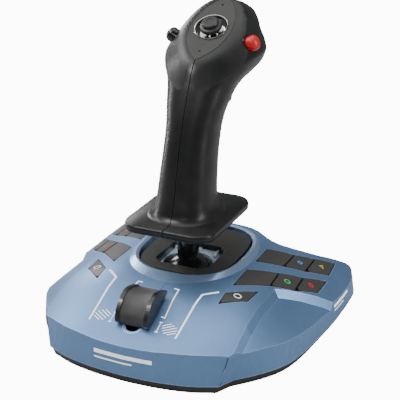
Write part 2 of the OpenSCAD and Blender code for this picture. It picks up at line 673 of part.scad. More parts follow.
// Height and radius of the steps of the caps' domed faces
dome = [[0, side_r], [1.1, side_r - 0.5], [2, side_r - 1.5], [2.7, side_r - 3.1], [3, side_r - 4.8]];
module side_cap() side_button() difference() {
    union() {
        translate([0, 0, -11.2]) cylinder(1.6, 7.1, 7.1);
        translate([0, 0, -10]) cylinder(10.8, side_r, side_r);
        for (i = [0:len(dome) - 2]) translate([0, 0, 0.8 + dome[i][0]])
            cylinder(dome[i + 1][0] - dome[i][0], dome[i][1], dome[i + 1][1]);
    }
    translate([0, 0, -12]) cylinder(8, 4.5, 4.5);
}
module red_button() color([0.75, 0.05, 0.04]) side_cap();
module black_button() color(black) mirror([1, 0, 0]) side_cap();

// Side view of the trigger, as [y, z]
trigger_side = [[60, 197], [60.6, 189], [66.4, 186], [70, 180], [72.6, 173.5], [75, 169.8], [78, 169.6],
    [79.8, 173], [81, 180], [84, 187], [84.4, 192.6], [76, 196.6], [67.9, 198.4]];
module trigger_lever() color(black) difference() {
    union() {
        along_x(2 * trigger_w) polygon(trigger_side);
        cross([trigger_y, trigger_z], 4, 2 * trigger_w);
    }
    cross([trigger_y, trigger_z], 1.56, 30);
}
module trigger_pin() color(steel) cross([trigger_y, trigger_z], 1.5, 26);
module trigger_switch() color(dark) translate([-6, 38.5, 184]) difference() {
    cube([12, 12, 9]);
    translate([4, 11, 2]) cube([4, 2, 5]);
}
module trigger_spring() color(steel) translate([0, 50.6, 188.5]) rotate([-90, 0, 0]) coil(2.4, 2.4, 9.4, 4, 0.35);

base_top_shell();
well_ring();
base_bottom_tray();
ballast_plates();
rubber_feet();
base_screws();
well_plate();
light_guide();
gimbal_housing();
main_board();
cable_gland();
centring_spring();
mirror([1, 0, 0]) button_board();  // button_board_left
button_board();  // button_board_right
mirror([1, 0, 0]) button_mat();  // button_mat_left
button_mat();  // button_mat_right
throttle_bracket();
throttle_rails();
throttle_sensor();
gimbal_ring();
roll_pins();
dome_cap();
stem_yoke();
stem_shaft();
pitch_axle();
centring_disc();
grip_half_left();
grip_half_right();
twist_bushes();
hat_plate();
hat_dish();
grip_screws();
grip_board();
mirror([1, 0, 0]) button_collar();  // button_collar_left
button_collar();  // button_collar_right
trigger_pin();
trigger_spring();
trigger_switch();
hat_gimbal();
hat_cap();
trigger_lever();
red_button();
black_button();
throttle_carriage();
throttle_saddle();
throttle_cheeks();
mirror([1, 0, 0]) key(0);  // key_left_small
mirror([1, 0, 0]) key(1);  // key_left_lower_wide
mirror([1, 0, 0]) key(2);  // key_left_lower_mid
mirror([1, 0, 0]) key(3);  // key_left_lower_outer
mirror([1, 0, 0]) key(4);  // key_left_upper_wide
mirror([1, 0, 0]) key(5);  // key_left_upper_mid
mirror([1, 0, 0]) key(6);  // key_left_upper_outer
key(0);  // key_right_small
key(1);  // key_right_lower_wide
key(2);  // key_right_lower_mid
key(3);  // key_right_lower_outer
key(4);  // key_right_upper_wide
key(5);  // key_right_upper_mid
key(6);  // key_right_upper_outer
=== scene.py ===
import json
import math

import bmesh
import bpy
from mathutils import Matrix, Vector
from mathutils.bvhtree import BVHTree


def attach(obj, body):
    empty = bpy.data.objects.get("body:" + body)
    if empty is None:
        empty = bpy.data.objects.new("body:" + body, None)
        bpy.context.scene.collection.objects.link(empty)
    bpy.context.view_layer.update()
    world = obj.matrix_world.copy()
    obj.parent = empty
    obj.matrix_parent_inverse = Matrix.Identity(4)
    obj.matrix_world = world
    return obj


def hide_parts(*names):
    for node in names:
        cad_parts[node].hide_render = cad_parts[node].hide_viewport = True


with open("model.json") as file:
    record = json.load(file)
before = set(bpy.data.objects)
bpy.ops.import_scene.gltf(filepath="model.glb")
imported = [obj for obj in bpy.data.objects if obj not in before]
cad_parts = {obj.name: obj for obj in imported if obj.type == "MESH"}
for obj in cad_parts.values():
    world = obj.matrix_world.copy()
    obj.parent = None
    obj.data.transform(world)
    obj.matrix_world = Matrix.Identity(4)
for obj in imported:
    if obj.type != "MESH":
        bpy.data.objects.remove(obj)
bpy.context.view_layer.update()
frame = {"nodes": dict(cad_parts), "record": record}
nodes = frame["nodes"]
MM = 0.001

# ---------------------------------------------------------------- camera
EYE = Vector((0.3269, -0.6914, 0.4208))
AIM = Vector((0.0235, -0.0202, 0.1200))
cam_data = bpy.data.cameras.new("camera")
cam_data.lens = 94.5
cam_data.sensor_width = 36
cam_data.clip_start = 0.05
cam = bpy.data.objects.new("camera", cam_data)
cam.location = EYE
cam.rotation_euler = (AIM - EYE).to_track_quat("-Z", "Y").to_euler()
bpy.context.scene.collection.objects.link(cam)
bpy.context.scene.camera = cam

# ---------------------------------------------------------------- light
AMBIENT = 0.2                      # strength of the room's own light
BACKDROP = 14.0                    # strength of the white that only the camera sees


def camera_mix(tree, seen, other):
    """A shader that is `seen` for rays straight from the camera and `other` for the rest."""
    path = tree.nodes.new("ShaderNodeLightPath")
    mix = tree.nodes.new("ShaderNodeMixShader")
    tree.links.new(path.outputs["Is Camera Ray"], mix.inputs[0])
    tree.links.new(other, mix.inputs[1])
    tree.links.new(seen, mix.inputs[2])
    return mix.outputs[0]


world = bpy.data.worlds.new("studio")
bpy.context.scene.world = world
world.use_nodes = True
tree = world.node_tree
ambient = tree.nodes["Background"]
ambient.inputs["Color"].default_value = (0.95, 0.98, 1, 1)
ambient.inputs["Strength"].default_value = AMBIENT
backdrop = tree.nodes.new("ShaderNodeBackground")
backdrop.inputs["Color"].default_value = (1, 1, 1, 1)
backdrop.inputs["Strength"].default_value = BACKDROP
tree.links.new(camera_mix(tree, backdrop.outputs[0], ambient.outputs[0]),
               tree.nodes["World Output"].inputs["Surface"])


def softbox(name, place, aim, size, power):
    """Rectangular white light at a place, turned to an aim; metres and watts."""
    data = bpy.data.lights.new(name, "AREA")
    data.shape = "RECTANGLE"
    data.size, data.size_y = size
    data.energy = power
    o = bpy.data.objects.new(name, data)
    o.location = place
    o.rotation_euler = (Vector(aim) - Vector(place)).to_track_quat("-Z", "Y").to_euler()
    bpy.context.scene.collection.objects.link(o)


softbox("key", (-0.55, -0.62, 1.1), (0, 0, 0.08), (0.3, 0.22), 8)
softbox("side", (-0.95, 0.1, 0.95), (0, 0, 0.08), (0.4, 0.4), 5)
softbox("front", (0.25, -1.3, 0.95), (0, -0.05, 0.1), (0.4, 0.2), 1.5)
softbox("right", (1.1, 0.05, 0.6), (0, 0, 0.12), (0.10, 0.8), 7)
softbox("left", (-1.2, 0.1, 0.35), (0, 0, 0.12), (0.06, 0.7), 5)
softbox("top", (-0.1, 0.1, 1.3), (0, 0, 0.05), (1.3, 1.1), 10)
softbox("back", (-0.84, 0.7, 0.58), (0, 0, 0.06), (0.3, 0.3), 3.5)


# ---------------------------------------------------------------- materials
PATCH_DETAIL = 3.0                 # noise detail of colour and roughness patches
COLOUR_BAND = (0.4, 0.75)          # noise values over which the colour drifts
ROUGH_BAND = (0.3, 0.7)            # noise values over which the roughness drifts
EDGE_BAND = (0.995, 0.90)          # bent normal against true normal: from no edge colour to full edge colour, which is wear and a painted highlight
BEVEL_SAMPLES = 4
DECK_FACING = (0.55, 0.65)         # how far up a face looks before it counts as deck
TINY = 1e-6                        # metres
BREAK_SPAN = (-0.020, -0.078)      # where the deck's front curve starts and ends, along Y
CREASES = (-0.03667, -0.05858)     # the CAD deck's two creases, along Y
CREASE_TURN = math.radians(10.5)   # how far the deck turns down at each


class Mat:
    """A procedural material: colour, its variation, roughness, grain, and edge wear with a painted edge highlight.
    """

    def __init__(self, name, color, rough=0.5, metallic=0.0, coat=0.0, coat_rough=0.1, specular=0.5,
                 glow=0.0):
        self.m = bpy.data.materials.new(name)
        self.m.use_nodes = True
        self.t = self.m.node_tree
        self.p = self.t.nodes["Principled BSDF"]
        self.p.inputs["Metallic"].default_value = metallic
        self.p.inputs["Roughness"].default_value = rough
        self.p.inputs["Coat Weight"].default_value = coat
        self.p.inputs["Coat Roughness"].default_value = coat_rough
        self.p.inputs["Specular IOR Level"].default_value = specular
        # With glow, the surface gives off its own colour: painted light from a part that is no lamp.
        self.p.inputs["Emission Color"].default_value = (*color, 1)
        self.p.inputs["Emission Strength"].default_value = glow
        self.color = self.rgb(color)
        self.normal = None
        self.coord = self.node("ShaderNodeTexCoord").outputs["Object"]

    def node(self, kind, **values):
        """A new node with the given properties."""
        n = self.t.nodes.new(kind)
        for k, v in values.items():
            setattr(n, k, v)
        return n

    def link(self, a, b):
        self.t.links.new(a, b)

    def rgb(self, c):
        n = self.node("ShaderNodeRGB")
        n.outputs[0].default_value = (*c, 1)
        return n.outputs[0]

    def noise(self, scale, detail=2.0):
        n = self.node("ShaderNodeTexNoise")
        n.inputs["Scale"].default_value = scale
        n.inputs["Detail"].default_value = detail
        self.link(self.coord, n.inputs["Vector"])
        return n.outputs["Fac"]

    def span(self, value, lo, hi, a, b):
        """Takes lo..hi to a..b, held at the ends."""
        n = self.node("ShaderNodeMapRange")
        n.inputs["From Min"].default_value = lo
        n.inputs["From Max"].default_value = hi
        n.inputs["To Min"].default_value = a
        n.inputs["To Max"].default_value = b
        self.link(value, n.inputs["Value"])
        return n.outputs["Result"]

    def drift(self, fac, other):
        """Takes the colour so far towards another by a factor."""
        n = self.node("ShaderNodeMix", data_type="RGBA")
        a, b = n.inputs[6], n.inputs[7]
        self.link(fac, n.inputs["Factor"])
        self.link(self.color, a)
        b.default_value = (*other, 1)
        self.color = n.outputs[2]
        return self

    def vary(self, other, scale, amount):
        """Drifts towards another colour in soft patches."""
        return self.drift(self.span(self.noise(scale, PATCH_DETAIL), *COLOUR_BAND, 0.0, amount), other)

    def edges(self, color, radius, amount):
        """Lighter colour along the edges, found with the bevel node: partly wear, partly a painted highlight on the
        rims.
        """
        b = self.node("ShaderNodeBevel", samples=BEVEL_SAMPLES)
        b.inputs["Radius"].default_value = radius
        g = self.node("ShaderNodeNewGeometry")
        d = self.node("ShaderNodeVectorMath", operation="DOT_PRODUCT")
        self.link(b.outputs["Normal"], d.inputs[0])
        self.link(g.outputs["Normal"], d.inputs[1])
        return self.drift(self.span(d.outputs["Value"], *EDGE_BAND, 0.0, amount), color)

    def rough_noise(self, lo, hi, scale):
        """Roughness that drifts between lo and hi."""
        noise = self.noise(scale, PATCH_DETAIL)
        self.link(self.span(noise, *ROUGH_BAND, lo, hi), self.p.inputs["Roughness"])
        return self

    def reckon(self, operation, a, b):
        """Two values through a math node."""
        n = self.node("ShaderNodeMath", operation=operation)
        self.link(a, n.inputs[0])
        self.link(b, n.inputs[1])
        return n.outputs[0]

    def round_break(self, back, front, creases, step):
        """Turns the deck's normals about X, so that its creases read as one curve along Y."""
        normal = self.node("ShaderNodeNewGeometry").outputs["Normal"]
        place, up = self.node("ShaderNodeSeparateXYZ"), self.node("ShaderNodeSeparateXYZ")
        self.link(self.coord, place.inputs[0])
        self.link(normal, up.inputs[0])
        y = place.outputs["Y"]
        turn = self.span(y, back, front, 0.0, step * len(creases))
        for crease in creases:
            turn = self.reckon("SUBTRACT", turn, self.span(y, crease + TINY, crease - TINY, 0.0, step))
        turn = self.reckon("MULTIPLY", turn, self.span(up.outputs["Z"], *DECK_FACING, 0.0, 1.0))
        n = self.node("ShaderNodeVectorRotate", rotation_type="X_AXIS")
        self.link(normal, n.inputs["Vector"])
        self.link(turn, n.inputs["Angle"])
        self.normal = n.outputs["Vector"]
        return self

    def grain(self, scale, strength, distance=0.0001):
        """Fine bumps, laid over whatever normals are set already."""
        n = self.node("ShaderNodeBump")
        n.inputs["Strength"].default_value = strength
        n.inputs["Distance"].default_value = distance
        self.link(self.noise(scale), n.inputs["Height"])
        if self.normal:
            self.link(self.normal, n.inputs["Normal"])
        self.normal = n.outputs["Normal"]
        return self

    def done(self):
        """Joins the colour and the normals to the shader; the material itself comes back."""
        self.link(self.color, self.p.inputs["Base Color"])
        if self.normal:
            self.link(self.normal, self.p.inputs["Normal"])
        return self.m


INKS = {"ink_blue": (0.05, 0.35, 0.75), "ink_yellow": (0.75, 0.50, 0.03), "ink_green": (0.03, 0.55, 0.12),
        "ink_red": (0.72, 0.02, 0.03), "ink_orange": (0.75, 0.20, 0.03)}


def material_set():
    """One material for each slot of the record, and the looks that only this script names."""
    m = {}
    # The .edges calls paint the edges lighter: partly wear, partly a painted highlight on the rims.
    m["shell_blue"] = (Mat("blue_paint", (0.15, 0.268, 0.48), 0.47, 0.74, 0.08, 0.45)
                       .vary((0.175, 0.3, 0.52), 14, 0.5).edges((0.5, 0.66, 0.9), 0.0011, 0.75)
                       .rough_noise(0.40, 0.47, 30).round_break(*BREAK_SPAN, CREASES, CREASE_TURN)
                       .grain(9000, 0.12, 0.00003).done())
    m["tray_black"] = (Mat("tray_plastic", (0.030, 0.030, 0.032), 0.55)
                       .vary((0.045, 0.045, 0.048), 40, 0.6).grain(2600, 0.35, 0.00008).done())
    m["steel"] = (Mat("zinc_steel", (0.62, 0.63, 0.65), 0.3, 1.0).vary((0.5, 0.5, 0.5), 90, 0.5)
                  .rough_noise(0.22, 0.4, 160).done())
    m["foot_rubber"] = Mat("foot_rubber", (0.025, 0.025, 0.025), 0.85).grain(3000, 0.4).done()
    m["plate_grey"] = (Mat("plate_plastic", (0.034, 0.034, 0.031), 0.45, specular=0.35)
                       .vary((0.044, 0.044, 0.041), 60, 0.5).edges((0.2, 0.2, 0.19), 0.0005, 0.4)
                       .rough_noise(0.36, 0.48, 120).grain(4200, 0.18, 0.00005).done())
    m["light_guide"] = Mat("light_guide", (0.55, 0.66, 0.80), 0.3).vary((0.7, 0.8, 0.9), 60, 0.5).done()
    m["board_green"] = Mat("board", (0.02, 0.12, 0.05), 0.4).vary((0.03, 0.2, 0.08), 300, 0.5).done()
    m["mat_silicone"] = Mat("silicone", (0.45, 0.45, 0.43), 0.6).vary((0.5, 0.5, 0.48), 90, 0.5).done()
    m["gloss_black"] = (Mat("polished_black", (0.008, 0.008, 0.009), 0.16)
                        .vary((0.014, 0.014, 0.015), 60, 0.5).rough_noise(0.12, 0.22, 90).done())
    m["stem_plastic"] = Mat("nylon", (0.04, 0.04, 0.043), 0.5).vary((0.06, 0.06, 0.06), 80, 0.5).done()
    m["bearing_plastic"] = Mat("acetal", (0.75, 0.74, 0.69), 0.4).vary((0.7, 0.69, 0.64), 80, 0.5).done()
    m["cheeks"] = (Mat("satin_black", (0.009, 0.009, 0.01), 0.3)
                   .vary((0.012, 0.012, 0.013), 60, 0.5).rough_noise(0.26, 0.36, 90).done())
    m["grip_black"] = (Mat("grip_plastic", (0.009, 0.009, 0.0093), 0.33, specular=0.36)
                       .vary((0.022, 0.022, 0.0225), 45, 0.6).edges((0.07, 0.07, 0.07), 0.0006, 0.35)
                       .rough_noise(0.31, 0.38, 60).grain(3800, 0.07, 0.00005).done())
    m["slider_grey"] = (Mat("slider_plastic", (0.045, 0.044, 0.043), 0.55)
                        .vary((0.06, 0.059, 0.057), 70, 0.5).grain(3000, 0.3, 0.00008).done())
    m["button_red"] = (Mat("red_plastic", (0.62, 0.008, 0.010), 0.38, coat=0.1, coat_rough=0.3)
                       .vary((0.5, 0.006, 0.008), 120, 0.5).done())
    m["key_grey"] = (Mat("key_plastic", (0.042, 0.041, 0.039), 0.42)
                     .vary((0.055, 0.053, 0.05), 70, 0.5).edges((0.12, 0.115, 0.10), 0.0005, 0.5)
                     .grain(3600, 0.2, 0.00005).done())
    # The ring is the deck's blue painted lighter, a painted highlight, with a brighter painted highlight on its
    # edges.
    m["ring_blue_lit"] = (Mat("ring_paint_lit", (0.32, 0.48, 0.74), 0.28, 0.75, 0.3, 0.2)
                      .vary((0.37, 0.53, 0.79), 20, 0.5).edges((0.6, 0.75, 0.95), 0.0009, 0.7)
                      .rough_noise(0.28, 0.36, 30).done())
    m["seam_blue"] = Mat("seam", (0.03, 0.08, 0.17), 0.5, 0.4).vary((0.04, 0.10, 0.2), 100, 0.5).done()
    # A lighter blue for the band round the slot's front end: a painted highlight.
    m["lip_blue_lit"] = (Mat("lip", (0.30, 0.52, 0.82), 0.3, 0.6).vary((0.35, 0.56, 0.85), 60, 0.5)
                     .rough_noise(0.26, 0.36, 60).done())
    m["dark_steel"] = (Mat("dark_steel", (0.05, 0.05, 0.052), 0.35, 0.9).vary((0.08, 0.08, 0.08), 90, 0.5)
                       .rough_noise(0.3, 0.45, 160).done())
    m["dish"] = (Mat("polished_dish", (0.5, 0.5, 0.48), 0.2, 1.0).vary((0.42, 0.42, 0.40), 50, 0.5)
                 .rough_noise(0.17, 0.23, 80).done())
    m["knob"] = (Mat("knob_rubber", (0.012, 0.012, 0.012), 0.42).vary((0.02, 0.02, 0.02), 90, 0.5)
                 .rough_noise(0.36, 0.5, 120).grain(2600, 0.3, 0.00006).done())
    for name, c in INKS.items():
        m[name] = Mat(name, c, 0.45).vary(tuple(0.8 * v for v in c), 200, 0.5).done()
    # The white print glows a little, painted light that makes it read brighter.
    m["print_white"] = Mat("ink", (1.0, 1.0, 1.0), 0.5, glow=0.5).vary((0.93, 0.94, 0.95), 200, 0.5).done()
    return m


MATS = material_set()
# CAD nodes whose material isn't their slot's
LOOKS = {"grip_screws": "dark_steel", "well_ring": "ring_blue_lit", "throttle_cheeks": "cheeks"}
for row in frame["record"]["subparts"]:
    o = nodes[row["node"]]
    o.data.materials.clear()
    o.data.materials.append(MATS[LOOKS.get(row["node"], row["material_slot"])])

# ---------------------------------------------------------------- building pieces
SHARP = 28                         # angle from which a CAD node's edge stays sharp, degrees
FLAT = 0.6                         # angle up to which its faces are joined, degrees


def solid(name, verts, faces):
    """Object from points in mm, with its normals outward."""
    me = bpy.data.meshes.new(name)
    me.from_pydata([tuple(c * MM for c in v) for v in verts], [], faces)
    o = bpy.data.objects.new(name, me)
    bpy.context.scene.collection.objects.link(o)
    bm = bmesh.new()
    bm.from_mesh(me)
    bmesh.ops.recalc_face_normals(bm, faces=bm.faces)
    bm.to_mesh(me)
    bm.free()
    return o


def loft(name, rings):
    """Closed solid through rings of equal length."""
    n = len(rings[0])
    faces = [tuple(range(n))]
    for k in range(len(rings) - 1):
        for i in range(n):
            j = (i + 1) % n
            faces.append((k * n + i, k * n + j, (k + 1) * n + j, (k + 1) * n + i))
    faces.append(tuple((len(rings) - 1) * n + i for i in range(n)))
    return solid(name, [p for r in rings for p in r], faces)


def prism(name, outline, z0, z1, place=Matrix.Identity(4)):
    return loft(name, [[tuple(place @ Vector((x, y, z))) for x, y in outline] for z in (z0, z1)])


def circle(r, n=72):
    return [(r * math.cos(2 * math.pi * i / n), r * math.sin(2 * math.pi * i / n)) for i in range(n)]


def cut(o, *cutters):
    """Boolean difference, worked out at once; the cutters are thrown away."""
    for c in cutters:
        m = o.modifiers.new("cut", "BOOLEAN")
        m.object = c
        m.operation = "DIFFERENCE"
        m.solver = "EXACT"
        bpy.context.view_layer.update()
        done = bpy.data.meshes.new_from_object(o.evaluated_get(bpy.context.evaluated_depsgraph_get()))
        o.modifiers.clear()
        o.data = done
        bpy.data.objects.remove(c)


def finish(o, slot, body, replaced=(), sharp=30, look=None):
    """Gives a new piece its material, from its look or else its slot, smooth shading and its body, and hides the
    CAD nodes that it stands for.
    """
    o.data.materials.clear()
    o.data.materials.append(MATS[look or slot])
    o.data.shade_smooth()
    o.data.set_sharp_from_angle(angle=math.radians(sharp))
    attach(o, body)
    if replaced:
        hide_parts(*replaced)
    return o


def bevel(o, width, limit=SHARP):
    """Rounds edges sharper than the limit; width in mm, limit in degrees."""
    b = o.modifiers.new("edge", "BEVEL")
    b.width = width * MM
    b.segments = 2
    b.limit_method = "ANGLE"
    b.angle_limit = math.radians(limit)
    b.harden_normals = True


def soften(o, width):
    """Bevels a CAD node's edges, with its flat faces joined first."""
    d = o.modifiers.new("flat", "DECIMATE")
    d.decimate_type = "DISSOLVE"
    d.angle_limit = math.radians(FLAT)
    bevel(o, width)


# ---------------------------------------------------------------- edges of the CAD nodes
# Bevel widths, mm
KEY_BEVEL = 0.45
BEVELS = {"base_top_shell": 0.8, "well_ring": 0.6, "base_bottom_tray": 0.5, "well_plate": 0.4,
          "throttle_saddle": 0.3, "throttle_cheeks": 0.6, "hat_plate": 0.3, "trigger_lever": 0.9,
          "cable_gland": 0.3, "light_guide": 0.3}

for o in nodes.values():
    o.data.shade_smooth()
    o.data.set_sharp_from_angle(angle=math.radians(SHARP))
for name, w in BEVELS.items():
    soften(nodes[name], w)
for name, o in nodes.items():
    if name.startswith("key_"):
        soften(o, KEY_BEVEL)

# ---------------------------------------------------------------- grip
# Height, front, back, half-width and squareness of the grip's sections
GRIP = [(96.4, -28, 41.5, 31.5, 2.5), (97.3, -25.2, 38.9, 28.6, 2.4), (98.5, -23.5, 37.2, 26.9, 2.4),
        (102, -21, 34.6, 24.4, 2.4), (108, -19.2, 32.6, 22.9, 2.4), (116, -16.4, 32.4, 22.2, 2.4),
        (130, -13, 34.6, 21.4, 2.4),
        (145, -9.1, 38.2, 20.6, 2.4), (160, -4.6, 43.2, 20.4, 2.4), (174, 0.3, 48.8, 21.8, 2.4),
        (183, 4, 55.7, 23.8, 2.4), (190, 7, 63.6, 25.4, 2.4), (196, 9.8, 76.2, 27.7, 2.4),
        (201, 12.4, 94.5, 31.2, 2.5), (207, 15.6, 105.6, 35, 2.6), (214, 20, 107, 36.7, 2.7),
        (221, 22.6, 106.8, 34.4, 2.8), (228, 25, 106.6, 29.8, 3), (235, 27.6, 106.8, 26.5, 3.2),
        (241, 30.4, 105.8, 23.2, 3.2), (247, 34.4, 99, 18, 3), (250.6, 38.6, 90.5, 13.8, 2.8),
        (251.9, 42, 84, 10.5, 2.8)]
FOOT_Z, BODY_Z, TOP_Z = 96.5, 101.5, 251.9
ROOM_Z = (100.5, 248.5)            # the hollow's lowest and highest section
WALL = 2.4
SEAM = 0.38                        # half the gap between the halves
STICK_Y = 8.5                      # the stem's axis
LEAF_L, LEAF_W = 35.5, 17.2        # half-length and half-width of the hat plate
LEAF_CUT = 32.5                    # where its upper tip is cut off
LEAF_R = (LEAF_L ** 2 + LEAF_W ** 2) / (2 * LEAF_W)
LEAF_GAP = 0.1
STEM_HOLE, DISH_HOLE, BUTTON_HOLE = 9, 14.2, 8.3
TRIGGER_SLOT = [(-8.2, 57), (8.2, 57), (8.2, 95), (-8.2, 95)]
TRIGGER_Z = (179, 199.5)
HEAD = Matrix.Translation((0, 53.4, 234.5)) @ Matrix.Rotation(math.radians(31), 4, "X")
BUTTON = (Matrix.Translation((35.2, 55.6, 225.8)) @ Matrix.Rotation(math.radians(-6), 4, "Z")
          @ Matrix.Rotation(math.radians(58), 4, "Y"))


def smooth_table(table, z):
    """Values at height z, interpolated without overshoot."""
    zs = [row[0] for row in table]
    k = max(0, min(len(zs) - 2, sum(1 for v in zs if v <= z) - 1))
    out = []
    for c in range(1, len(table[0])):
        def slope(i):
            if i == 0 or i == len(zs) - 1:
                j = min(i, len(zs) - 2)
                return (table[j + 1][c] - table[j][c]) / (zs[j + 1] - zs[j])
            h0, h1 = zs[i] - zs[i - 1], zs[i + 1] - zs[i]
            d0, d1 = (table[i][c] - table[i - 1][c]) / h0, (table[i + 1][c] - table[i][c]) / h1
            if d0 * d1 <= 0:
                return 0.0
            w0, w1 = 2 * h1 + h0, h1 + 2 * h0
            return (w0 + w1) / (w0 / d0 + w1 / d1)
        h = zs[k + 1] - zs[k]
        t = (z - zs[k]) / h
        a, b = table[k][c], table[k + 1][c]
        out.append(a * (1 + 2 * t) * (1 - t) ** 2 + b * t * t * (3 - 2 * t)
                   + h * t * (1 - t) * (slope(k) * (1 - t) - slope(k + 1) * t))
    return out


def half_ring(z, inset, x0, steps=40):
    """The right half of the grip's section at height z, from front to back, ending on x0."""
    front, back, half, power = smooth_table(GRIP, z)
    mid, d = (front + back) / 2, (back - front) / 2 - inset
    ring = []
    for i in range(steps + 1):
        t = math.pi * i / steps - math.pi / 2
        c, n = max(0.0, math.cos(t)), math.sin(t)
        ring.append((max(x0, (half - inset) * c ** (2 / power)),
                     mid + d * math.copysign(abs(n) ** (2 / power), n), z))
    ring[0] = (x0, ring[0][1], z)
    ring[-1] = (x0, ring[-1][1], z)
    return ring


CROWN_REACH, CROWN_STEP, CROWN_HIGH = 66, 3, 90
CROWN_DROP, CROWN_SPREAD = 16, 20  # how far the head falls away outside the plate, and how soon


def crown(top):
    """What is cut off above the head: flat at the hat plate, falling away outside it."""
    n = 2 * CROWN_REACH // CROWN_STEP
    ticks = [-CROWN_REACH + CROWN_STEP * i for i in range(n + 1)]
    verts, faces = [], []
    for x in ticks:
        for y in ticks:
            out = max(0.0, math.hypot(abs(x) - (LEAF_W - LEAF_R), y) - LEAF_R)
            drop = CROWN_DROP * (1 - math.exp(-(out / CROWN_SPREAD) ** 2))
            verts.append(tuple(HEAD @ Vector((x, y, top - drop))))
    for x in ticks:
        for y in ticks:
            verts.append(tuple(HEAD @ Vector((x, y, CROWN_HIGH))))
    m = n + 1

    def at(i, j, k):
        return k * m * m + i * m + j
    for i in range(n):
        for j in range(n):
            faces.append((at(i, j, 0), at(i, j + 1, 0), at(i + 1, j + 1, 0)))
            faces.append((at(i, j, 0), at(i + 1, j + 1, 0), at(i + 1, j, 0)))
            faces.append((at(i, j, 1), at(i + 1, j, 1), at(i + 1, j + 1, 1), at(i, j + 1, 1)))
        for a, b in (((i, 0), (i + 1, 0)), ((i + 1, n), (i, n)), ((0, i + 1), (0, i)), ((n, i), (n, i + 1))):
            faces.append((at(*a, 0), at(*b, 0), at(*b, 1), at(*a, 1)))
    return solid("crown", verts, faces)


def leaf_outline():
    """The pocket for the hat plate: two arcs that meet below, cut off straight above."""
    r, n = LEAF_R + LEAF_GAP, 24
    reach = math.asin((LEAF_L + LEAF_GAP) / r)
    angles = [reach * (i / n * 2 - 1) for i in range(n + 1)]
    arc = [(r * math.cos(a) + LEAF_W - LEAF_R, r * math.sin(a)) for a in angles]
    right = [(x, y) for x, y in arc if y < LEAF_CUT and x > 0]
    edge = math.sqrt(r ** 2 - LEAF_CUT ** 2) + LEAF_W - LEAF_R
    outline = [(0, arc[0][1])] + right + [(edge, LEAF_CUT)]
    return outline + [(-x, y) for x, y in reversed(outline[1:])]


def grip_half():
    """Right grip shell: a hollow skin with its openings cut in."""
    flare, body = 14, 115
    steps = [FOOT_Z + 0.35 * i for i in range(flare)]
    steps += [BODY_Z + i * (TOP_Z - BODY_Z) / body for i in range(body + 1)]
    o = loft("grip_shell_right", [half_ring(z, 0, SEAM) for z in steps])
    inner = loft("room", [half_ring(z, WALL, -2) for z in steps if ROOM_Z[0] < z < ROOM_Z[1]])
    cut(inner, crown(-3.6))
    cut(o, crown(-0.05), prism("leaf", leaf_outline(), -2, 20, HEAD), inner,
        prism("bore", [(x, y + STICK_Y) for x, y in circle(STEM_HOLE)], 90, 155),
        prism("dish", circle(DISH_HOLE), -20, 10, HEAD),
        prism("button", circle(BUTTON_HOLE), -18, 22, BUTTON),
        prism("slot", TRIGGER_SLOT, *TRIGGER_Z))
    return o


def seam_core(name, k, away):
    """Strip that closes the seam between the halves, a little below the skin; k picks front or back."""
    half, skin, deep = 0.5, 0.9, 2.5
    rings = []
    for z in (98 + i * 1.5 for i in range(101)):
        y = smooth_table(GRIP, z)[k]
        rings.append([(-half, y + skin * away, z), (half, y + skin * away, z),
                      (half, y + deep * away, z), (-half, y + deep * away, z)])
    o = loft(name, rings)
    cut(o, crown(-skin), prism("slot", TRIGGER_SLOT, *TRIGGER_Z),
        prism("plate", [(-18, -36.2), (18, -36.2), (18, 33), (-18, 33)], -2.1, 20, HEAD))
    return o


def hand_rest():
    """Right half of the hand rest, with rounded edges and a hole for the stem."""
    w, d, r = 38.0, 47.0, 15.0     # half-width, half-depth and corner radius
    outline = [(0.0, -d)]
    for s0, cy in ((-90, -(d - r)), (0, d - r)):
        outline += [(w - r + r * math.cos(math.radians(s0 + a)), cy + r * math.sin(math.radians(s0 + a)))
                    for a in range(0, 91, 6)]
    outline.append((0.0, d))
    # Heights, and how far the outline is drawn in there
    rows = [(90.6, 1.6), (90.9, 0.6), (91.8, 0.0), (95.4, 0.0), (96.5, 0.5), (97.0, 1.5)]
    rings = []
    for z, inset in rows:
        ring = []
        for x, y in outline:
            k = math.hypot(x, y)
            q = (k - inset) / k
            ring.append((max(SEAM, x * q), y * q + STICK_Y, z))
        inner = [(max(SEAM, STEM_HOLE * math.cos(a)), STICK_Y + STEM_HOLE * math.sin(a), z)
                 for a in (math.pi / 2 - math.pi * i / 24 for i in range(25))]
        rings.append(ring + inner)
    return loft("hand_rest_right", rings)


def mirrored(o, name):
    """The same piece on the other side of X."""
    me = o.data.copy()
    me.transform(Matrix.Scale(-1, 4, (1, 0, 0)))
    me.flip_normals()
    c = bpy.data.objects.new(name, me)
    bpy.context.scene.collection.objects.link(c)
    return c


SHELL_SHARP = 32
shell = grip_half()
rest = hand_rest()
for o, node in ((shell, "grip_half_right"), (mirrored(shell, "grip_shell_left"), "grip_half_left")):
    finish(o, "grip_black", "grip", [node], sharp=SHELL_SHARP)
    bevel(o, 0.45, SHELL_SHARP)
for o, node in ((rest, "grip_half_right"), (mirrored(rest, "hand_rest_left"), "grip_half_left")):
    finish(o, "grip_black", "grip", [node], sharp=50)

for name, k, away in (("seam_core_front", 0, 1), ("seam_core_back", 1, -1)):
    finish(seam_core(name, k, away), "grip_black", "grip")

# ---------------------------------------------------------------- printed marks
TREES = {}                         # the skins that marks lie on, by node


def on_surface(node, u, v, side):
    """Point of a node's skin in mm: from above at (x, y), from the front at (x, z), from the right at (y, z)."""
    if node not in TREES:
        TREES[node] = BVHTree.FromObject(nodes[node], bpy.context.evaluated_depsgraph_get())
    start, way = {"top": ((u, v, 300), (0, 0, -1)), "front": ((u, -300, v), (0, 1, 0)),
                  "right": ((300, u, v), (-1, 0, 0))}[side]
    hit = TREES[node].ray_cast(Vector(start) * MM, Vector(way))[0]
    return (None if hit is None else hit / MM), Vector(way)


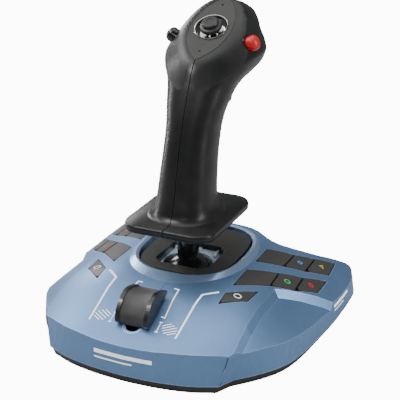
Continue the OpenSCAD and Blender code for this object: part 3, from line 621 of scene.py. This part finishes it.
def ink(name, node, body, look, patches, side="top", lift=0.12, depth=0.5):
    """Thin printed shapes on a node's skin; a patch is a list of rows of points, all of one length."""
    verts, faces = [], []
    for rows in patches:
        found = [[on_surface(node, u, v, side) for u, v in row] for row in rows]
        if any(p is None for row in found for p, _ in row):
            continue
        base, m, n = len(verts), len(rows), len(rows[0])
        for shift in (-lift, depth):
            verts += [tuple(p + way * shift) for row in found for p, way in row]

        def at(i, j, k):
            return base + k * m * n + i * n + j
        for i in range(m - 1):
            for j in range(n - 1):
                faces.append((at(i, j, 0), at(i + 1, j, 0), at(i + 1, j + 1, 0), at(i, j + 1, 0)))
                faces.append((at(i, j, 1), at(i, j + 1, 1), at(i + 1, j + 1, 1), at(i + 1, j, 1)))
            for j in (0, n - 1):
                faces.append((at(i, j, 0), at(i, j, 1), at(i + 1, j, 1), at(i + 1, j, 0)))
        for j in range(n - 1):
            for i in (0, m - 1):
                faces.append((at(i, j, 0), at(i, j + 1, 0), at(i, j + 1, 1), at(i, j, 1)))
    finish(solid(name, verts, faces), "bearing_plastic", body, look=look)


def blob(x, y, r, sides, turn=0.0, hole=0.0):
    """A printed polygon, or a ring when it has a hole, as a patch."""
    angles = [math.radians(turn + 360 * i / sides) for i in range(sides + 1)]
    return [[(x + q * math.cos(a), y + q * math.sin(a)) for a in angles] for q in (max(hole, 0.05), r)]


def line(a, b, width, step=2.0):
    """A straight printed line as a patch."""
    a, b = Vector(a), Vector(b)
    n = max(2, math.ceil((b - a).length / step) + 1)
    side = Vector((-(b - a).y, (b - a).x)).normalized() * width / 2
    return [[tuple(a + (b - a) * i / (n - 1) - side), tuple(a + (b - a) * i / (n - 1) + side)]
            for i in range(n)]


def both(patches):
    """The patches with their mirror images."""
    return patches + [[[(-x, y) for x, y in row] for row in p] for p in patches]


ink("deck_lines", "base_top_shell", "root", "print_white",
    both([line((47.2, -37.7), (36.9, -46.0), 1.4), line((36.9, -45.6), (35.8, -91.0), 1.4),
          line((13.5, -45.8), (17.7, -45.9), 0.9), line((17.4, -45.5), (20.1, -76.3), 0.9),
          line((20.3, -75.9), (16.9, -75.5), 0.9)]))
ink("deck_hatching", "base_top_shell", "root", "print_white",
    both([line((21.6, -83.0), (27.7, -79.5), 0.6), line((22.2, -85.0), (30.4, -80.6), 0.6),
          line((23.6, -87.0), (32.9, -82.0), 0.6), line((25.0, -89.0), (34.1, -84.2), 0.6),
          line((28.2, -89.6), (34.1, -86.6), 0.6)]))
ink("deck_marks", "base_top_shell", "root", "print_white",
    both([line((18.0, -80.2), (20.4, -80.4), 1.0), line((19.2, -80.8), (19.4, -88.6), 0.6),
          line((18.2, -89.0), (20.6, -89.2), 1.0)]))

# Seams of the front lobe, and a lighter blue band round the slot's front end, a painted highlight on its lip
ink("lobe_seams", "base_top_shell", "root", "seam_blue",
    both([line((71.5, 9.6), (76.4, 33.0), 0.9)]), side="front", lift=0.12)
ink("deck_seam", "base_top_shell", "root", "seam_blue", [line((4.2, -40.5), (4.2, -53.0), 0.4)], lift=0.03)
SLOT_END = -87.4                   # centre of the slot's round front end, along Y
LIP = [[(q * math.cos(math.radians(a)), SLOT_END + q * math.sin(math.radians(a)))
        for a in range(180, 361, 9)] for q in (7.5, 7.9, 8.4, 8.8)]
ink("slot_lip", "base_top_shell", "root", "lip_blue_lit", [LIP], lift=0.35)

# Plain marks where the object carries lettering
FRONT_BARS = [line((-24, 24.5), (24, 24.5), 3.2), line((-24, 19.4), (8, 19.4), 1.2)]
SIDE_BARS = [line((40, 20), (72, 20), 2.4), line((40, 16.6), (60, 16.6), 1.0)]
ink("front_mark", "base_top_shell", "root", "print_white", FRONT_BARS, side="front", lift=0.02)
ink("side_mark", "base_top_shell", "root", "print_white", SIDE_BARS, side="right", lift=0.02)

# Plain coloured marks on the keys
MARKS = {"right_upper_mid": ("ink_blue", blob(80.2, 54.5, 2.6, 4, 45, 1.5)),
         "right_upper_outer": ("ink_yellow", blob(94.5, 68.5, 2.6, 3, 90, 1.3)),
         "right_lower_mid": ("ink_green", blob(82.0, 18.9, 2.6, 16, 0, 1.6)),
         "right_lower_outer": ("ink_red", blob(96.6, 35.0, 2.6, 4, 0, 1.5)),
         "left_lower_mid": ("ink_red", blob(-82.0, 18.9, 2.4, 16, 0, 1.4)),
         "left_lower_outer": ("ink_green", blob(-96.6, 35.0, 2.4, 4, 45, 1.4)),
         "left_upper_mid": ("ink_orange", blob(-80.2, 54.5, 2.4, 3, 90, 1.2)),
         "left_upper_outer": ("ink_red", blob(-94.5, 68.5, 2.4, 16, 0, 1.4)),
         "right_small": ("print_white", blob(60.8, -33.5, 3.0, 16, 20, 2.3)),
         "left_small": ("print_white", blob(-60.8, -33.5, 3.0, 16, 20, 2.3))}
for name, (look, patch) in MARKS.items():
    ink("mark_" + name, "key_" + name, "key_" + name, look, [patch])

# ---------------------------------------------------------------- turned pieces
def lathe(name, profile, place, n=64, flip=1):
    """Solid turned about the z axis of a frame, from (radius, height) pairs.

    The profile starts and ends on the axis, or else it is a closed loop. A flip of -1 mirrors it in X.
    """
    verts, faces = [], []
    for q, z in profile:
        for i in range(n):
            a = 2 * math.pi * i / n
            p = place @ Vector((q * math.cos(a), q * math.sin(a), z))
            verts.append((p.x * flip, p.y, p.z))
    m = len(profile)
    closed = profile[0][0] > 0
    for k in range(m if closed else m - 1):
        for i in range(n):
            j = (i + 1) % n
            l = (k + 1) % m
            faces.append((k * n + i, k * n + j, l * n + j, l * n + i))
    o = solid(name, verts, faces)
    bm = bmesh.new()
    bm.from_mesh(o.data)
    bmesh.ops.remove_doubles(bm, verts=bm.verts, dist=TINY)
    bmesh.ops.dissolve_degenerate(bm, dist=TINY, edges=bm.edges)
    bmesh.ops.recalc_face_normals(bm, faces=bm.faces)
    bm.to_mesh(o.data)
    bm.free()
    return o


# Profiles, mm from the axis and along it
CAP = [(0.0, 4.25), (0.7, 4.24), (1.4, 4.17), (2.2, 4.0), (3.0, 3.72), (3.8, 3.34), (4.5, 2.86), (5.1, 2.3),
       (5.6, 1.65), (5.95, 0.9), (6.12, 0.2), (6.15, -0.5), (6.15, -9.9), (7.1, -10.0), (7.1, -11.2),
       (4.5, -11.2), (4.5, -4.0), (0.0, -4.0)]
finish(lathe("red_cap", CAP, BUTTON), "button_red", "red", ["red_button"])
finish(lathe("black_cap", CAP, BUTTON, flip=-1), "gloss_black", "black", ["black_button"])
DISH = [(13.8, -7.0), (13.8, 0.9), (13.65, 1.35), (13.3, 1.6), (12.95, 1.5), (12.7, 1.1), (12.2, -0.5),
        (11.6, -2.2), (10.9, -3.9), (10.2, -5.0), (9.2, -5.5), (5.0, -5.5), (5.0, -7.0)]
finish(lathe("polished_dish", DISH, HEAD, 96), "gloss_black", "grip", ["hat_dish"], look="dish")
PIN = [(0.0, -4.0), (0.65, -4.0), (0.65, 4.0), (0.0, 4.0)]
PIN_PLACE = HEAD @ Matrix.Translation((0, 0, -9.3)) @ Matrix.Rotation(math.radians(90), 4, "X")
HAT = [(0.0, 6.9), (2.6, 6.9), (2.9, 7.25), (4.9, 7.25), (6.1, 6.9), (6.8, 6.0), (6.9, 4.9), (6.6, 4.1), (7.4, 3.8),
       (8.4, 3.4), (8.8, 2.6), (8.8, 0.6), (8.5, 0.45), (7.6, 0.45), (7.5, 1.4), (2.2, 1.4), (2.2, -12.0),
       (0.0, -12.0)]
finish(lathe("hat_knob", HAT, HEAD), "grip_black", "hat", ["hat_cap"], look="knob")
finish(lathe("hat_knob_pin", PIN, PIN_PLACE, 24), "grip_black", "hat", ["hat_cap"], look="knob")

# ---------------------------------------------------------------- stage
FLOOR_GLOW = 0.85                  # share of the backdrop's white in the floor that the camera sees
FLOOR_SIZE, FLOOR_Z = 12, -0.0002  # just under the feet, metres
bpy.ops.mesh.primitive_plane_add(size=FLOOR_SIZE, location=(0, 0, FLOOR_Z))
floor = bpy.context.object
floor.name = "floor"
paper = Mat("floor", (0.5, 0.5, 0.5), 0.8)
paper.done()
glow = paper.t.nodes.new("ShaderNodeEmission")
glow.inputs["Strength"].default_value = BACKDROP
out = paper.t.nodes["Material Output"]
seen = paper.t.nodes.new("ShaderNodeMixShader")
seen.inputs[0].default_value = FLOOR_GLOW
paper.link(paper.p.outputs[0], seen.inputs[1])
paper.link(glow.outputs[0], seen.inputs[2])
paper.link(camera_mix(paper.t, seen.outputs[0], paper.p.outputs[0]), out.inputs["Surface"])
floor.data.materials.append(paper.m)
